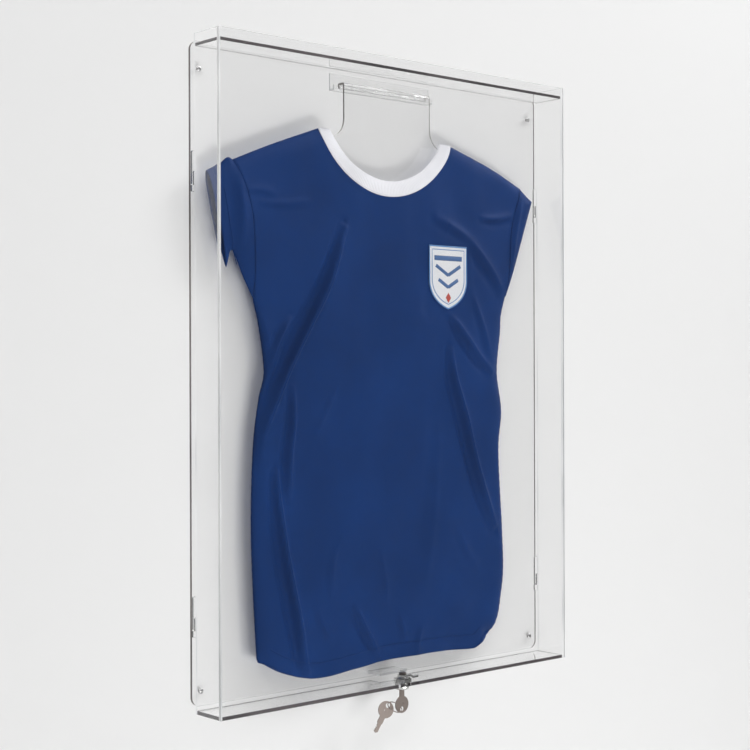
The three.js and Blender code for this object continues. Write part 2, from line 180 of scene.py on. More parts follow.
def edge_painted_light(nodes, links, body, axis, way, dark, light, clear_within):
    """Edge faces in a matt tone that shifts along their length, painted to stand in for the shade and
    highlights that the clear sheet's edges show.

    The stretch less than clear_within from the middle stays clear, where the lock fills the sheet."""
    split = nodes.new("ShaderNodeSeparateXYZ")
    links.new(nodes.new("ShaderNodeTexCoord").outputs["Normal"], split.inputs[0])
    if way == 0:
        facing = math_node(nodes, links, "ABSOLUTE", split.outputs[axis], 0.0)
        edge = math_node(nodes, links, "LESS_THAN", facing, EDGE_FACING)
    else:
        facing = math_node(nodes, links, "MULTIPLY", split.outputs[axis], float(way))
        edge = math_node(nodes, links, "GREATER_THAN", facing, EDGE_FACING)
    if clear_within:
        middle = nodes.new("ShaderNodeSeparateXYZ")
        links.new(object_place(nodes), middle.inputs[0])
        aside = math_node(nodes, links, "ABSOLUTE", middle.outputs["X"], 0.0)
        beyond = math_node(nodes, links, "GREATER_THAN", aside, clear_within)
        edge = math_node(nodes, links, "MULTIPLY", edge, beyond)
    # Painted light: this matt tone stands in for the shade and highlight of a clear edge
    matt = nodes.new("ShaderNodeBsdfPrincipled")
    matt.inputs["Roughness"].default_value = 0.35
    patchy = noise_node(nodes, links, object_place(nodes), 7.0, 3.0)
    links.new(ramp_node(nodes, links, patchy, 0.35, 0.75, dark, light), matt.inputs["Base Color"])
    return mix_shaders(nodes, links, edge, body, matt.outputs[0])


def metal_material(name, colour, roughness, grain):
    """Plated metal with fine wear in its gloss and a little colour variation."""
    material, nodes, links = new_material(name)
    shader = principled(nodes, colour, roughness, Metallic=1.0)
    place = object_place(nodes)
    wear = noise_node(nodes, links, place, 900.0, 4.0)
    dark = tuple(c * 0.82 for c in colour)
    links.new(ramp_node(nodes, links, wear, 0.3, 0.7, dark, colour), shader.inputs["Base Color"])
    spread = map_range(nodes, links, wear, 0.0, 1.0, roughness * 0.7, roughness * 1.5)
    links.new(spread, shader.inputs["Roughness"])
    fine = noise_node(nodes, links, place, 2600.0, 2.0)
    bump_into(nodes, links, shader, fine, grain, 0.2 * MM)
    return material


def knit_height(nodes, links, place):
    """Columns of knit stitches: ridges along Z crossed by finer rows."""
    split = nodes.new("ShaderNodeSeparateXYZ")
    links.new(place, split.inputs[0])
    across = math_node(nodes, links, "MULTIPLY", split.outputs["X"], 2 * math.pi / WALE)
    along = math_node(nodes, links, "MULTIPLY", split.outputs["Z"], 2 * math.pi / COURSE)
    columns = math_node(nodes, links, "SINE", across, 0.0)
    rows = math_node(nodes, links, "SINE", along, 0.0)
    return math_node(nodes, links, "ADD", columns, math_node(nodes, links, "MULTIPLY", rows, 0.6))


def fabric_material(name, colour, sheen, roughness):
    """Knitted cloth: stitch relief, slow dye variation, and a soft sheen in the cloth's own colour."""
    material, nodes, links = new_material(name)
    shader = principled(nodes, colour, roughness, Sheen_Weight=sheen, Sheen_Roughness=SHEEN_ROUGHNESS)
    tint = tuple(CLOTH_GLOSS_GREY + (1 - CLOTH_GLOSS_GREY) * c / max(colour) for c in colour)
    shader.inputs["Sheen Tint"].default_value = (*tint, 1.0)
    shader.inputs["Specular Tint"].default_value = (*tint, 1.0)
    shader.inputs["Specular IOR Level"].default_value = CLOTH_GLOSS
    place = object_place(nodes)
    slow = noise_node(nodes, links, place, 9.0, 3.0)
    dark = tuple(c * 0.88 for c in colour)
    light = tuple(min(1.0, c * 1.1) for c in colour)
    links.new(ramp_node(nodes, links, slow, 0.35, 0.7, dark, light), shader.inputs["Base Color"])
    bump_into(nodes, links, shader, knit_height(nodes, links, place), KNIT_STRENGTH, KNIT_DEPTH)
    return material


def thread_material(name, colour):
    """Satin-stitch embroidery: close diagonal threads, with painted shade in the grooves between them."""
    material, nodes, links = new_material(name)
    shader = principled(nodes, colour, 0.5, Sheen_Weight=0.2, Sheen_Roughness=SHEEN_ROUGHNESS)
    place = object_place(nodes)
    wave = nodes.new("ShaderNodeTexWave")
    wave.bands_direction = "DIAGONAL"
    wave.inputs["Scale"].default_value = 420.0
    wave.inputs["Distortion"].default_value = 0.6
    links.new(place, wave.inputs["Vector"])
    # Painted shade: darker where the wave sinks the bump, in the grooves between threads
    dark = tuple(c * 0.8 for c in colour)
    tone = ramp_node(nodes, links, wave.outputs["Fac"], 0.1, 0.8, dark, colour)
    links.new(tone, shader.inputs["Base Color"])
    bump_into(nodes, links, shader, wave.outputs["Fac"], 0.5, 0.3 * MM)
    return material


def stage_material(name, colour, one_sided=False):
    """Matt white. A one-sided surface isn't seen from behind and casts no shadow."""
    material, nodes, links = new_material(name)
    shader = principled(nodes, colour, 0.9)
    if one_sided:
        geometry = nodes.new("ShaderNodeNewGeometry")
        path = nodes.new("ShaderNodeLightPath")
        clear = nodes.new("ShaderNodeBsdfTransparent")
        behind, shadow = geometry.outputs["Backfacing"], path.outputs["Is Shadow Ray"]
        open_to = math_node(nodes, links, "MAXIMUM", behind, shadow)
        surface = mix_shaders(nodes, links, open_to, shader.outputs[0], clear.outputs[0])
        links.new(surface, nodes["Material Output"].inputs["Surface"])
    return material


# The darkest and lightest tones painted on a sheet's edge, standing in for the shade and highlights that
# clear edges show
# Near black painted shade on the edges of the top and floor sheets, where their clear edges show dark
EDGE_PAINTED_SHADE = ((0.012, 0.009, 0.012), (0.10, 0.085, 0.09))
# Brown painted shade on the back sheet's side edges and the side sheets' rear edges
EDGE_PAINTED_BROWN_SHADE = ((0.10, 0.085, 0.08), (0.30, 0.27, 0.27))
# Grey painted shade on the hanger's edges that face -X
EDGE_PAINTED_GREY_SHADE = ((0.16, 0.15, 0.14), (0.40, 0.38, 0.36))
# Near white painted highlight on clear edges: the ends of the front sheet, rail and keeper, the side sheets'
# front edges and the hanger's edges that face +X
EDGE_PAINTED_HIGHLIGHT = ((0.60, 0.61, 0.62), (0.92, 0.92, 0.92))
HIGHLIGHT_PAINTED_ENDS = [("X", -1, *EDGE_PAINTED_HIGHLIGHT), ("X", 1, *EDGE_PAINTED_HIGHLIGHT)]
LOCK_REACH = 19 * MM        # half the width of the floor that the lock and its nut fill

ACRYLIC = acrylic_material("acrylic")
LEVEL_ACRYLIC = acrylic_material("acrylic_level", [("Z", 0, *EDGE_PAINTED_SHADE)])
FLOOR_ACRYLIC = acrylic_material("acrylic_floor", [("Z", 0, *EDGE_PAINTED_SHADE)], clear_within=LOCK_REACH)
FRONT_ACRYLIC = acrylic_material("acrylic_front", HIGHLIGHT_PAINTED_ENDS)
BACK_ACRYLIC = acrylic_material("acrylic_back", [("X", -1, *EDGE_PAINTED_BROWN_SHADE), ("X", 1, *EDGE_PAINTED_BROWN_SHADE)])
SIDE_ACRYLIC = acrylic_material("acrylic_side", [("Y", -1, *EDGE_PAINTED_HIGHLIGHT), ("Y", 1, *EDGE_PAINTED_BROWN_SHADE)])
HANGER_ACRYLIC = acrylic_material("acrylic_hanger", [("X", -1, *EDGE_PAINTED_GREY_SHADE), ("X", 1, *EDGE_PAINTED_HIGHLIGHT)], haziness=0.0)
RAIL_ACRYLIC = acrylic_material("acrylic_rail", HIGHLIGHT_PAINTED_ENDS, haziness=0.0)
SHEET_LOOKS = {
    "back_panel": BACK_ACRYLIC, "front_panel": FRONT_ACRYLIC,
    "left_side_panel": SIDE_ACRYLIC, "right_side_panel": SIDE_ACRYLIC,
    "top_panel": LEVEL_ACRYLIC, "bottom_panel": FLOOR_ACRYLIC,
    "hanger_rail": RAIL_ACRYLIC, "lock_keeper": RAIL_ACRYLIC, "hanger_plate": HANGER_ACRYLIC,
}
HOOKS = [f"{owner}_hook_{level}_{side}" for owner in ("wall", "cover")
         for level in ("upper", "lower") for side in ("left", "right")]
CHROME = metal_material("lock_chrome", (0.62, 0.62, 0.61), 0.16, 0.05)
STEEL = metal_material("screw_steel", (0.55, 0.55, 0.55), 0.28, 0.08)
DARK_STEEL = metal_material("cam_screw_steel", (0.12, 0.10, 0.095), 0.3, 0.08)
NICKEL = metal_material("key_nickel", (0.34, 0.29, 0.265), 0.42, 0.1)
JERSEY = fabric_material("jersey_fabric", (0.005, 0.031, 0.135), sheen=0.025, roughness=0.55)
RIB = fabric_material("collar_rib", (0.86, 0.86, 0.9), sheen=0.05, roughness=0.8)
WHITE_THREAD = thread_material("thread_white", (0.82, 0.83, 0.86))
NAVY_THREAD = thread_material("thread_navy", (0.03, 0.11, 0.30))
PIPING_THREAD = thread_material("thread_piping", (0.09, 0.25, 0.55))
RED_THREAD = thread_material("thread_red", (0.48, 0.05, 0.03))

# ---------------------------------------------------------------- mesh helpers

BEVEL_SEGMENTS = 2
MERGE_WITHIN = 1e-7
TURNED_ANGLE = 35           # degrees: turned metal is sharp at edges beyond this


def new_object(name, mesh, material, body, replaced=()):
    piece = bpy.data.objects.new(name, mesh)
    bpy.context.scene.collection.objects.link(piece)
    mesh.materials.append(material)
    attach(piece, body)
    if replaced:
        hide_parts(*replaced)
    return piece


def mesh_of(name, verts, faces, smooth=True):
    mesh = bpy.data.meshes.new(name)
    mesh.from_pydata([tuple(v) for v in verts], [], [tuple(f) for f in faces])
    mesh.validate()
    if smooth:
        mesh.polygons.foreach_set("use_smooth", [True] * len(mesh.polygons))
    mesh.update()
    return mesh


def solid_of(name, verts, faces, merge=False):
    """A closed smooth mesh with its faces turned outward, and its doubled points made one with merge."""
    mesh = mesh_of(name, verts, faces)
    work = bmesh.new()
    work.from_mesh(mesh)
    if merge:
        bmesh.ops.remove_doubles(work, verts=work.verts, dist=MERGE_WITHIN)
    bmesh.ops.recalc_face_normals(work, faces=work.faces)
    work.to_mesh(mesh)
    work.free()
    return mesh


def bevel(piece, width, angle=30):
    modifier = piece.modifiers.new("bevel", "BEVEL")
    modifier.width = width
    modifier.segments = BEVEL_SEGMENTS
    modifier.limit_method = "ANGLE"
    modifier.angle_limit = math.radians(angle)
    modifier.harden_normals = True


def dress(name, material, width, angle=30):
    """Give a CAD piece its look and break its edges."""
    piece = NODES[name]
    piece.data.materials.clear()
    piece.data.materials.append(material)
    bevel(piece, width, angle)


def grid_faces(rows, columns, flip=False):
    faces = []
    for j in range(rows):
        for i in range(columns):
            a = j * (columns + 1) + i
            quad = (a, a + 1, a + columns + 2, a + columns + 1)
            faces.append(quad[::-1] if flip else quad)
    return faces


def tube_faces(rings, sides, closed=False, flip=False):
    """Quads that join rings of points one to the next, and the two end faces where the tube isn't closed."""
    faces = []
    for k in range(rings if closed else rings - 1):
        q = (k + 1) % rings
        for j in range(sides):
            m = (j + 1) % sides
            quad = (k * sides + j, k * sides + m, q * sides + m, q * sides + j)
            faces.append((quad[0], *quad[:0:-1]) if flip else quad)
    if not closed:
        first = tuple(range(sides))
        last = tuple((rings - 1) * sides + j for j in range(sides))
        faces += [first, last[::-1]] if flip else [first[::-1], last]
    return faces


def revolve(name, profile, centre, segments=96):
    """A solid of revolution about a vertical axis, from a closed outline of (radius, z) in millimetres."""
    verts = []
    for k in range(segments):
        a = 2 * math.pi * k / segments
        for r, z in profile:
            verts.append((centre[0] + r * MM * math.cos(a), centre[1] + r * MM * math.sin(a), z * MM))
    faces = tube_faces(segments, len(profile), closed=True, flip=True)
    mesh = solid_of(name, verts, faces, merge=True)
    smooth_by_angle(mesh, TURNED_ANGLE)
    return mesh


def smooth_by_angle(mesh, degrees):
    """Smooth shading with the edges sharper than this left sharp."""
    work = bmesh.new()
    work.from_mesh(mesh)
    limit = math.radians(degrees)
    for face in work.faces:
        face.smooth = True
    for edge in work.edges:
        edge.smooth = len(edge.link_faces) == 2 and edge.calc_face_angle(0.0) < limit
    work.to_mesh(mesh)
    work.free()


# ---------------------------------------------------------------- clear sheets, lock, keys and screws

SHEET_BEVEL, LOCK_BEVEL, KEY_BEVEL = 0.35 * MM, 0.25 * MM, 0.22 * MM
METAL_BEVEL_ANGLE = 25
LOCK_CENTRE = (0.0, (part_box("lock_plug")[0].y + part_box("lock_plug")[1].y) / 2)
LOCK_BORE = 5.6
THREAD_CREST, THREAD_ROOT, THREAD_PITCH = 8.0, 7.55, 1.0
SCREW_SEAT, SCREW_RIM = 4.3, 0.5    # from the wall to the head's underside, and its straight rim
SCREW_SEGMENTS = 48
RECESS_SIZE = (3.6 * MM, 2.0 * MM, 0.7 * MM)
RECESS_TURN = 0.35


def finish_sheets():
    for name in [*SHEET_LOOKS, *HOOKS]:
        dress(name, SHEET_LOOKS.get(name, ACRYLIC), SHEET_BEVEL)


def make_screws():
    """Domed screws, turned about Z and then laid over to face the room."""
    for name in [n for n in NODES if n.startswith("wall_screw")]:
        low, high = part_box(name)
        x, z = (low.x + high.x) / 2, (low.z + high.z) / 2
        crown, head = -low.y / MM, (high.x - low.x) / 2 / MM
        rim = SCREW_SEAT + SCREW_RIM
        profile = [(0, 0.4), (2.0, 0.4), (2.1, 0.7), (2.1, SCREW_SEAT), (head, SCREW_SEAT), (head, rim)]
        arc = np.linspace(0.2, 1.45, 8)
        profile += [(head * math.cos(a), rim + (crown - rim) * math.sin(a)) for a in arc]
        profile += [(0.0, crown)]
        mesh = revolve(name + "_turned", profile, (0.0, 0.0), SCREW_SEGMENTS)
        mesh.transform(Matrix.Translation((x, 0, z)) @ Matrix.Rotation(math.pi / 2, 4, "X"))
        screw = new_object(name + "_head", mesh, STEEL, "wall_unit", [name])
        cross_recess(screw, x, low.y, z)


def cross_recess(screw, x, y, z):
    """Two crossed slots cut into the screw's crown."""
    for turn in (RECESS_TURN, RECESS_TURN + math.pi / 2):
        cutter_mesh = bpy.data.meshes.new("recess")
        work = bmesh.new()
        bmesh.ops.create_cube(work, size=1.0)
        bmesh.ops.scale(work, vec=RECESS_SIZE, verts=work.verts)
        work.to_mesh(cutter_mesh)
        work.free()
        cutter_mesh.transform(Matrix.Translation((x, y, z)) @ Matrix.Rotation(turn, 4, "Y"))
        cut_away(screw, cutter_mesh)


def cut_away(piece, cutter_mesh):
    cutter = bpy.data.objects.new("cutter", cutter_mesh)
    bpy.context.scene.collection.objects.link(cutter)
    modifier = piece.modifiers.new("cut", "BOOLEAN")
    modifier.operation = "DIFFERENCE"
    modifier.object = cutter
    modifier.solver = "EXACT"
    bpy.context.view_layer.update()
    made = bpy.data.meshes.new_from_object(piece.evaluated_get(bpy.context.evaluated_depsgraph_get()))
    piece.modifiers.remove(modifier)
    old = piece.data
    piece.data = made
    bpy.data.meshes.remove(old)
    bpy.data.objects.remove(cutter)
    smooth_by_angle(piece.data, TURNED_ANGLE)


def make_lock():
    """The lock's barrel, lipped below the floor and threaded above, and the looks of what it carries."""
    low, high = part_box("lock_housing")
    bottom, top = low.z / MM, high.z / MM
    seat = FLOOR_Z / MM - 0.2
    profile = [
        (LOCK_BORE, bottom + 0.4), (LOCK_BORE + 0.4, bottom), (8.6, bottom), (9.0, bottom + 0.2),
        (9.6, bottom + 1.2), (10.3, bottom + 2.5), (10.5, bottom + 3.2), (10.5, seat - 0.4),
        (10.1, seat), (THREAD_CREST, seat),
    ]
    for z in np.arange(seat + 5.0, top - 0.6, THREAD_PITCH):
        profile += [(THREAD_CREST, z), (THREAD_ROOT, z + 0.45 * THREAD_PITCH)]
    profile += [(THREAD_CREST, top - 0.4), (7.6, top), (LOCK_BORE, top)]
    housing = revolve("lock_barrel", profile, LOCK_CENTRE)
    new_object("lock_barrel", housing, CHROME, "cover", ["lock_housing"])
    for name in ("lock_nut", "lock_cam", "lock_plug"):
        dress(name, CHROME, LOCK_BEVEL, METAL_BEVEL_ANGLE)
    dress("cam_screw", DARK_STEEL, LOCK_BEVEL, METAL_BEVEL_ANGLE)


def finish_keys():
    for name in ("lock_key", "spare_key"):
        dress(name, NICKEL, KEY_BEVEL, METAL_BEVEL_ANGLE)


def make_ring():
    """Split ring: a flat wire wound nearly twice, with both ends cut square, in the plane of its CAD node."""
    points = np.array([v.co for v in NODES["key_ring"].data.vertices])
    centre = points.mean(0)
    _, axes = np.linalg.eigh(np.cov((points - centre).T))
    normal, u, v = axes[:, 0], axes[:, 2], axes[:, 1]
    radius, wire, turns, steps = 10.5 * MM, 0.42 * MM, 1.9, 120
    verts = []
    section = [(-0.55, -1), (0.55, -1), (0.75, 0), (0.55, 1), (-0.55, 1), (-0.75, 0)]
    for k in range(steps + 1):
        a = 2 * math.pi * turns * k / steps
        lift = (k / steps - 0.5) * 2 * wire
        out = math.cos(a) * u + math.sin(a) * v
        for r, n in section:
            verts.append(centre + out * (radius + r * MM) + normal * (lift + n * wire * 0.47))
    mesh = mesh_of("split_ring", verts, tube_faces(steps + 1, len(section)))
    smooth_by_angle(mesh, 40)
    new_object("split_ring", mesh, NICKEL, "ring", ["key_ring"])


# ---------------------------------------------------------------- shirt

BADGE_LOW, BADGE_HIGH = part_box("badge")

# All of the lengths here are in millimetres
MID_Y = -20.5
NECK_MIDDLE = -4.0
NECK_HALF = 120.0
NECK_SHAPE = 0.72
NECK_DEPTH = 81.0
SHOULDER_Z = 325.0
SEW_GAP = 0.45
SEW_REACH = 8.0             # how far in from a seam the cloth takes to fill out
FRONT_FULLNESS = 6.6
BACK_FULLNESS = 6.4
LEAST_FULLNESS, MOST_FULLNESS = 3.4, 11.0
CLOTH_THICKNESS = 0.7
DRAPE_IN, DRAPE_OUT = -2.0, 3.5
DRAPE_PASSES = 3
RELIEF_POINTS, RELIEF_REACH = 9, 8.0
BADGE_EASE = 18.0           # how far from the badge the cloth is wholly free again

# The front's and the back's slow waves: height, length, and the row of the noise they are read from
FRONT_WAVES = (1.2, 75.0, 3.1)
BACK_WAVES = (1.3, 62.0, 8.7)
WAVE_STRETCH = 1.8

# A fold's profile: the crest and the hollow beside it, against the fold's own height and half width
FOLD_DEPTH = 1.75
FOLD_STEPS = 40
FOLD_ENDS = (0.03, 0.97)
FOLD_FADE = 0.45
FOLD_WIDENING = 0.35
CREST_HEIGHT, CREST_SHARPNESS = 1.2, 1.4
HOLLOW_DEPTH, HOLLOW_AWAY = 0.55, 1.7

# The cut of the shirt as it hangs, in (x, z) millimetres
HEM = [(-226, -371), (-214, -375), (-187, -389), (-155, -399), (-125, -402), (-69, -398), (-15, -394),
       (40, -393), (99, -394), (150, -397), (163, -395), (176, -385), (186, -379)]
LEFT_SIDE = [(-226, -371), (-229, -350), (-236, -213), (-233, -99), (-224, -35), (-215, 2), (-222, 55),
             (-232, 96)]
LEFT_SEAM = [(-232, 96), (-231, 140), (-233, 180), (-238, 212), (-249, 242), (-264, 271)]
RIGHT_SIDE = [(186, -379), (203, -373), (214, -356), (220, -330), (226, -290), (224, -230), (217, -114),
              (223, -56), (214, 2), (221, 60), (223, 85), (232, 113)]
RIGHT_SEAM = [(232, 113), (238, 140), (240, 170), (242, 205), (250, 241), (264, 275)]
LEFT_SHOULDER = [(-264, 271), (-200, 297), (-124, 325)]
RIGHT_SHOULDER = [(116, 325), (203, 299), (264, 275)]
LEFT_CUFF = [(-274, 134), (-281, 165), (-288, 196), (-295, 228), (-301, 254)]
LEFT_UNDERARM = [(-232, 96), (-248, 124), (-265, 157), (-274, 134)]
LEFT_SLEEVE_TOP = [(-264, 271), (-272, 273), (-286, 262), (-301, 254)]
RIGHT_FOLD = [(234, 114), (246, 140), (256, 165), (275, 215), (291, 257)]
RIGHT_UNDERARM = [(232, 113), (234, 114)]
RIGHT_SLEEVE_TOP = [(264, 275), (278, 265), (291, 257)]


def along(points, count):
    """count + 1 points spaced evenly on a smooth curve through the given ones."""
    p = np.array(points, float)
    ends = np.vstack([2 * p[0] - p[1], p, 2 * p[-1] - p[-2]])
    fine = []
    for k in range(1, len(ends) - 2):
        a, b, c, d = ends[k - 1:k + 3]
        for t in np.linspace(0, 1, 16, endpoint=False):
            fine.append(0.5 * (2 * b + (c - a) * t + (2 * a - 5 * b + 4 * c - d) * t * t
                               + (3 * b - 3 * c + d - a) * t ** 3))
    fine.append(p[-1])
    fine = np.array(fine)
    lengths = np.concatenate([[0], np.cumsum(np.linalg.norm(np.diff(fine, axis=0), axis=1))])
    wanted = np.linspace(0, lengths[-1], count + 1)
    return np.stack([np.interp(wanted, lengths, fine[:, k]) for k in range(fine.shape[1])], 1)


def neck_edge(count):
    """The neckline, its points crowded a little toward the shoulders."""
    even = np.linspace(-1, 1, count + 1)
    share = 0.55 * even + 0.45 * np.sin(even * math.pi / 2)
    drop = np.maximum(1 - share ** 2, 0) ** NECK_SHAPE
    return np.stack([NECK_MIDDLE + NECK_HALF * share, SHOULDER_Z - NECK_DEPTH * drop], 1)


def neck_point(angle, grow):
    """A place on the neckline moved outward by grow, from its left end at pi to its right end at 2 pi."""
    drop = abs(math.sin(angle)) ** (2 * NECK_SHAPE)
    return NECK_MIDDLE + (NECK_HALF + grow) * math.cos(angle), SHOULDER_Z - (NECK_DEPTH + grow) * drop


def between(bottom, top, left, right):
    """A grid of points filling the area inside four edges that share their corners."""
    s = np.linspace(0, 1, len(bottom))[None, :, None]
    t = np.linspace(0, 1, len(left))[:, None, None]
    grid = (1 - t) * bottom[None] + t * top[None] + (1 - s) * left[:, None] + s * right[:, None]
    grid -= (1 - s) * (1 - t) * bottom[0] + s * (1 - t) * bottom[-1] + (1 - s) * t * top[0] + s * t * top[-1]
    return grid


def shoulder_columns(columns):
    return columns * 3 // 10


def body_grid(columns, rows):
    side = shoulder_columns(columns)
    neck = columns - 2 * side
    top = np.vstack([along(LEFT_SHOULDER, side)[:-1], neck_edge(neck)[:-1],
                     along(RIGHT_SHOULDER, side)])
    arm = rows * 26 // 100
    left = np.vstack([along(LEFT_SIDE, rows - arm)[:-1], along(LEFT_SEAM, arm)])
    right = np.vstack([along(RIGHT_SIDE, rows - arm)[:-1], along(RIGHT_SEAM, arm)])
    return between(along(HEM, columns), top, left, right)


def left_sleeve_grid(columns, rows):
    """From the cuff to the armhole seam."""
    return between(along(LEFT_UNDERARM[::-1], columns), along(LEFT_SLEEVE_TOP[::-1], columns),
                   along(LEFT_CUFF, rows), along(LEFT_SEAM, rows))


def right_sleeve_grid(columns, rows):
    """From the armhole seam to the fold where the sleeve turns behind."""
    return between(along(RIGHT_UNDERARM, columns), along(RIGHT_SLEEVE_TOP, columns),
                   along(RIGHT_SEAM, rows), along(RIGHT_FOLD, rows))


# Folds of the front: a line of (x, z) points, how far the crest stands out, its half width, and
# how deep the hollow on its left is against the crest
FOLDS = [
    ([(-83, 195), (-111, 127), (-145, 69), (-181, 8), (-206, -39), (-223, -77), (-228, -107)], 6.0, 5.0, 1.5),
    ([(-172, -18), (-173, -62), (-178, -105), (-180, -161)], 3.2, 4.5, 1.0),
    ([(-200, -130), (-196, -173), (-188, -225), (-174, -291), (-161, -349), (-150, -392)], 5.4, 5.0, 1.4),
    ([(-177, 68), (-195, 42), (-214, 6)], 3.4, 4.5, 1.2),
    ([(-238, 97), (-222, 67), (-214, 33), (-220, 6)], 3.0, 4.5, 1.0),
    ([(-245, 234), (-222, 236), (-200, 233)], 1.0, 4.0, 0.6),
    ([(-221, 219), (-180, 221), (-144, 226)], 1.0, 4.0, 0.6),
    ([(86, 220), (145, 195), (193, 154), (221, 121)], 3.0, 6.0, 1.0),
    ([(105, 93), (131, 65), (165, 27), (196, 3)], 3.4, 5.0, 1.1),
    ([(158, 114), (179, 66), (191, 27)], 1.8, 5.0, 0.7),
    ([(114, 32), (121, -11), (141, -68), (164, -136), (202, -221)], 5.2, 5.0, 1.5),
    ([(91, -58), (81, -185), (64, -300)], 1.2, 9.0, 0.8),
    ([(-97, -14), (-114, -45), (-137, -84)], 1.2, 4.0, 0.5),
    ([(-92, -219), (-106, -253), (-112, -297)], 1.3, 4.5, 0.5),
    ([(-23, -242), (-11, -293), (-9, -325)], 1.0, 4.0, 0.5),
    ([(-66, -315), (-48, -348), (-24, -386)], 3.0, 4.0, 1.0),
    ([(13, -332), (20, -350), (26, -372)], 1.5, 4.0, 0.6),
    ([(54, -355), (48, -372), (43, -392)], 1.5, 4.0, 0.6),
    ([(-138, -303), (-124, -331), (-104, -358)], 1.4, 4.5, 0.6),
    ([(180, 225), (210, 226), (240, 233)], 2.4, 4.0, 1.2),
    ([(130, -230), (150, -262), (170, -286)], 1.2, 6.0, 0.6),
    ([(-258, 250), (-252, 200), (-258, 150)], 2.2, 8.0, 0.6),
    ([(262, 258), (250, 205), (245, 160)], 1.6, 5.0, 0.6),
]


def fold_height(points):
    """How far the folds carry the front out, in millimetres: a crisp crest with a hollow on its left."""
    height = np.zeros(len(points))
    for line, lift, width, pull in FOLDS:
        path = along(line, FOLD_STEPS)
        nearest = np.linalg.norm(path[None] - points[:, None], axis=2).argmin(1)
        tangent = np.gradient(path, axis=0)
        step = np.linalg.norm(tangent, axis=1)[nearest]
        t = tangent[nearest] / step[:, None]
        offset = points - path[nearest]
        share = (nearest + (t * offset).sum(1) / step) / FOLD_STEPS
        beyond = step * FOLD_STEPS * np.maximum(np.maximum(-share, share - 1.0), 0.0)
        across = t[:, 0] * offset[:, 1] - t[:, 1] * offset[:, 0]
        signed = np.hypot(across, beyond) * np.sign(across)
        share = np.clip(share, *FOLD_ENDS)
        fade = np.sin(np.pi * share) ** FOLD_FADE
        spread = width * (1.0 + FOLD_WIDENING * share)
        crest = 1.0 / (1.0 + (signed / spread) ** 2) ** CREST_SHARPNESS
        hollow = np.exp(-((signed + HOLLOW_AWAY * spread) / spread) ** 2)
        height += FOLD_DEPTH * lift * fade * (CREST_HEIGHT * crest - HOLLOW_DEPTH * pull * hollow)
    return height


def undulation(points, waves):
    height, length, row = waves
    places = [Vector((x / length, row, z / (length * WAVE_STRETCH))) for x, z in points]
    return height * np.array([noise.noise(place) for place in places])


def tree_of(points):
    tree = KDTree(len(points))
    for k, (x, z) in enumerate(points):
        tree.insert((x, z, 0.0), k)
    tree.balance()
    return tree


SEWN_LINES = (LEFT_SIDE, RIGHT_SIDE, LEFT_SHOULDER, RIGHT_SHOULDER, LEFT_UNDERARM, LEFT_SLEEVE_TOP,
              RIGHT_FOLD, RIGHT_SLEEVE_TOP)
SEWN_EDGES = tree_of(np.vstack([along(line, 220) for line in SEWN_LINES]))


def fullness(points):
    """0 where front and back are sewn together, 1 well inside."""
    reach = np.array([SEWN_EDGES.find((x, z, 0.0))[2] for x, z in points])
    return 1 - np.exp(-reach / SEW_REACH)


def softened(field, passes):
    for _ in range(passes):
        wide = np.pad(field, 1, mode="edge")
        field = (field * 4 + wide[:-2, 1:-1] + wide[2:, 1:-1] + wide[1:-1, :-2] + wide[1:-1, 2:]) / 8
    return field


